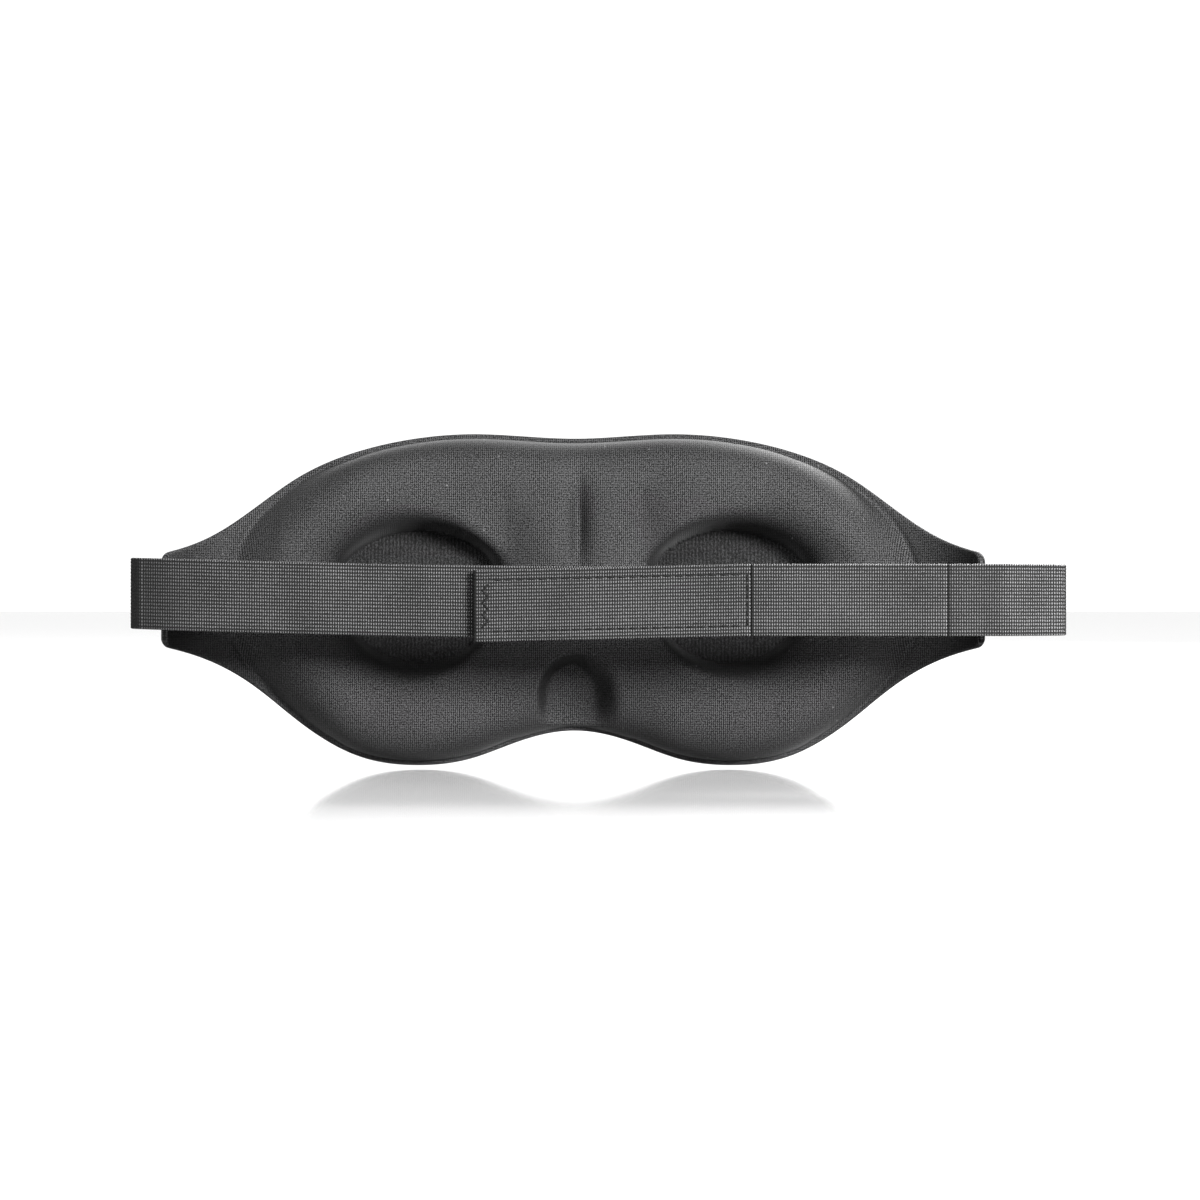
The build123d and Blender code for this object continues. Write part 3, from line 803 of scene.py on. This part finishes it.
def webFinish(name, pieces, k):  # covered elastic: ribs along it, crossed by the weft that shows between them, with painted sheen and shade
    f = Finish(name)
    uv, run, across = f.measure()
    ribWidth = (webShape["width"] - 2 * webShape["selvedge"]) / webShape["ribs"] * mm
    rib = (across + ribWidth / 4).wave(ribWidth)
    weft = run.wave(k["pick"])
    fine = f.speckle(uv, 3200.0, 2.0, 0.7)
    patchy = f.speckle(uv, 60.0, 2.0)
    # painted sheen: slow light and dark bands stretched along the web, standing in for the light changing over
    # its length; added to the random grain below
    paintedSheen = f.speckle(f.add("ShaderNodeMapping", Vector=uv, Scale=(1.0, 0.12, 1.0)), 42.0, 1.0)
    grainAndPaintedSheen = (fine - 0.5) * 1.6 + (patchy - 0.5) * 0.3 + (paintedSheen - 0.5) * 0.4
    shade = rib * weft * 0.75 + weft * 0.3 + grainAndPaintedSheen - 0.02
    # painted shade: a thin dark line along the groove where each selvedge meets the ribs
    edge = across.math("ABSOLUTE", across) - (webShape["width"] / 2 - webShape["selvedge"]) * mm
    paintedGrooveShade = 1.0 - edge.math("ABSOLUTE", edge).above(0.0001, 0.00035)
    colour = f.tint(shade.above(0.3, 0.95), k["dark"], k["light"])
    # painted light and shade: lighter where the web turns towards the key lamp on the -X side, darker where it
    # turns away
    colour = f.tint(f.normalAlong(0) * 2.0 + 0.24, colour, k["dark"])
    colour = f.tint(paintedGrooveShade * 0.85, colour, k["dark"])
    normal = f.bump(weft * (0.4 + rib * 0.6) + fine * 0.4, k["depth"], k["bump"])
    f.done(pieces, colour, 0.78 - shade * 0.15, normal, Sheen_Weight=k["sheen"], Sheen_Roughness=0.35,
           Sheen_Tint=(0.8, 0.8, 0.8, 1), Specular_IOR_Level=0.1)


def objectFinish(name, pieces, k):  # for small pieces measured in the object's own frame
    f = Finish(name)
    node = f.tree.nodes.new("ShaderNodeTexCoord")
    place = Signal(f.tree, node.outputs["Object"])
    split = f.tree.nodes.new("ShaderNodeSeparateXYZ")
    f.plug(split.inputs[0], place)
    x, z = Signal(f.tree, split.outputs[0]), Signal(f.tree, split.outputs[2])
    twist = (x * k["along"] + z * k["up"]).wave(k["pitch"])
    cross = z.wave(k["pitch"] * 1.3)
    fine = f.speckle(place, k["grain"], 2.0, 0.7)
    shade = twist * 0.25 + cross * k["cross"] * 0.5 + (fine - 0.5) * 2.2 + 0.3
    colour = f.tint(shade.above(0.2, 0.95), k["dark"], k["light"])
    normal = f.bump(twist * 0.4 + cross * k["cross"] + fine, k["depth"], 0.8)
    f.done(pieces, colour, k["rough"], normal, Sheen_Weight=0.02, Specular_IOR_Level=0.08)


print("finishing the cloth")
faceKnit = {"wale": 0.00062, "course": 0.0007, "dark": (0.0005, 0.0005, 0.0005),
            "light": (0.0215, 0.0215, 0.0219), "sheen": 0.04, "depth": 0.00009, "bump": 1.0}
panelKnit = {"wale": 0.00062, "course": 0.0007, "dark": (0.0005, 0.0005, 0.0005),
             "light": (0.0225, 0.0225, 0.0229), "sheen": 0.03, "depth": 0.00009, "bump": 0.9}
elasticWeb = {"pick": 0.0007, "dark": (0.0004, 0.0004, 0.0004), "light": (0.058, 0.058, 0.059),
              "sheen": 0.01, "depth": 0.00012, "bump": 1.0}
blackoutWeave = {"along": 1.0, "up": 0.0, "pitch": 0.0011, "cross": 0.1, "grain": 2300.0, "rough": 0.9,
                 "dark": (0.0006, 0.0006, 0.0006), "light": (0.011, 0.011, 0.0113), "depth": 0.0003}
hookTape = {"along": 1.0, "up": 0.0, "pitch": 0.0011, "cross": 0.5, "grain": 2600.0, "rough": 0.5,
            "dark": (0.002, 0.002, 0.002), "light": (0.009, 0.009, 0.009), "depth": 0.0004}
sewingThread = {"along": 1.0, "up": 0.6, "pitch": 0.0003, "cross": 0.0, "grain": 2600.0, "rough": 0.7,
                "dark": (0.0003, 0.0003, 0.0003), "light": (0.0016, 0.0016, 0.0016), "depth": 0.00006}
knitFinish("faceKnit", [faceCushion], faceKnit)
knitFinish("panelKnit", [frontPanel], panelKnit)
webFinish("elasticWeb", [leftStrap, rightStrap, elasticSpan, hookTab], elasticWeb)
objectFinish("blackoutWeave", [blackoutLining], blackoutWeave)
objectFinish("hookTape", [hookPatch], hookTape)
objectFinish("sewingThread", [tabRowStitches, tabEndStitches, tabLineStitches, leftTipStitches,
                              rightTipStitches], sewingThread)

for piece, nodes, slotName in (
        (faceCushion, ("face_foam", "face_cover"), "face_cloth"),
        (frontPanel, ("front_foam", "front_cover"), "cover_cloth"),
        (blackoutLining, ("front_lining",), "lining_cloth"),
        (leftStrap, ("left_strap_anchor", "left_strap_fold", "left_strap"), "elastic_webbing"),
        (rightStrap, ("right_strap_anchor", "right_strap_fold", "right_strap"), "elastic_webbing"),
        (elasticSpan, ("right_elastic_span", "tab_base"), "elastic_webbing"),
        (hookTab, ("hook_tab",), "elastic_webbing"),
        (hookPatch, ("hook_patch",), "hook_tape"),
        (tabRowStitches, ("tab_row_stitching",), "thread"),
        (tabEndStitches, ("tab_end_stitching",), "thread"),
        (tabLineStitches, ("tab_line_stitching",), "thread"),
        (leftTipStitches, ("left_tip_stitching",), "thread"),
        (rightTipStitches, ("right_tip_stitching",), "thread")):
    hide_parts(*nodes)
for piece in (faceCushion, frontPanel, blackoutLining, leftTipStitches, rightTipStitches):
    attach(piece, "mask")

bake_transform(leftStrap)
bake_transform(rightStrap)
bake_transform(elasticSpan)
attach(tabLineStitches, "strap_end")
for piece in (hookTab, hookPatch, tabRowStitches, tabEndStitches):
    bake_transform(piece)


print("lighting")
stageShape = {"floorZ": -0.0507, "white": (0.28, 0.28, 0.28), "shade": (0.27, 0.27, 0.27), "roughness": 0.09}


def layFloor():
    deselectAll()
    bpy.ops.mesh.primitive_plane_add(size=1)
    floor = bpy.context.object
    floor.name = "studioFloor"
    floor.scale = (12, 12, 1)
    floor.location = (0, -2, stageShape["floorZ"])
    f = Finish("studioWhite")
    node = f.tree.nodes.new("ShaderNodeTexCoord")
    grain = f.speckle(Signal(f.tree, node.outputs["Object"]), 3.0)
    colour = f.tint(grain * 0.1, stageShape["white"], stageShape["shade"])
    f.done([floor], colour, stageShape["roughness"], f.bump(grain, 0.0001, 0.02), Specular_IOR_Level=0.5)


def addLamp(name, place, size, power):  # a soft lamp aimed at the middle of the mask
    deselectAll()
    bpy.ops.object.light_add(type="AREA", location=place)
    lamp = bpy.context.object
    lamp.name = name
    lamp.data.shape = "RECTANGLE"
    lamp.data.size, lamp.data.size_y = size
    lamp.data.energy = power
    lamp.rotation_euler = (-Vector(place)).to_track_quat("-Z", "Y").to_euler()


layFloor()
addLamp("keyLamp", (-0.75, 0.95, 0.38), (0.35, 0.35), 140.0)
addLamp("fillLamp", (0.6, 0.95, 0.65), (0.4, 0.4), 26.0)
addLamp("frontKeyLamp", (-0.7, -1.0, 0.85), (0.5, 0.5), 150.0)   # these two light the outer face
addLamp("frontFillLamp", (0.8, -0.9, 0.3), (0.5, 0.5), 30.0)
addLamp("topLamp", (0.05, 0.1, 1.0), (0.7, 0.4), 6.0)


def lightWorld():  # white behind the object and in a band round the horizon, dark above it
    world = bpy.context.scene.world or bpy.data.worlds.new("studioWorld")
    bpy.context.scene.world = world
    world.use_nodes = True
    tree = world.node_tree
    place = tree.nodes.new("ShaderNodeTexCoord")
    split = tree.nodes.new("ShaderNodeSeparateXYZ")
    tree.links.new(place.outputs["Generated"], split.inputs[0])
    behind = (Signal(tree, split.outputs[1]) * -1.0).above(0.25, 0.85)
    high = Signal(tree, split.outputs[2])
    horizon = (1.0 - (high * high).above(0.07, 0.2)) * 1.15
    strength = behind.math("MAXIMUM", behind * 1.15, horizon) + 0.03
    background = tree.nodes["Background"]
    background.inputs["Color"].default_value = (1, 1, 1, 1)
    tree.links.new(strength.socket, background.inputs["Strength"])


lightWorld()

viewShape = {"place": (-0.0078, 0.564, 0.0), "lens": 57.3}
bpy.ops.object.camera_add(location=viewShape["place"], rotation=(math.radians(90), 0, math.radians(180)))
camera = bpy.context.object
camera.data.lens = viewShape["lens"]
camera.data.sensor_width = 36
bpy.context.scene.camera = camera
bpy.context.scene.view_settings.view_transform = "Standard"

deselectAll()
bpy.context.view_layer.update()
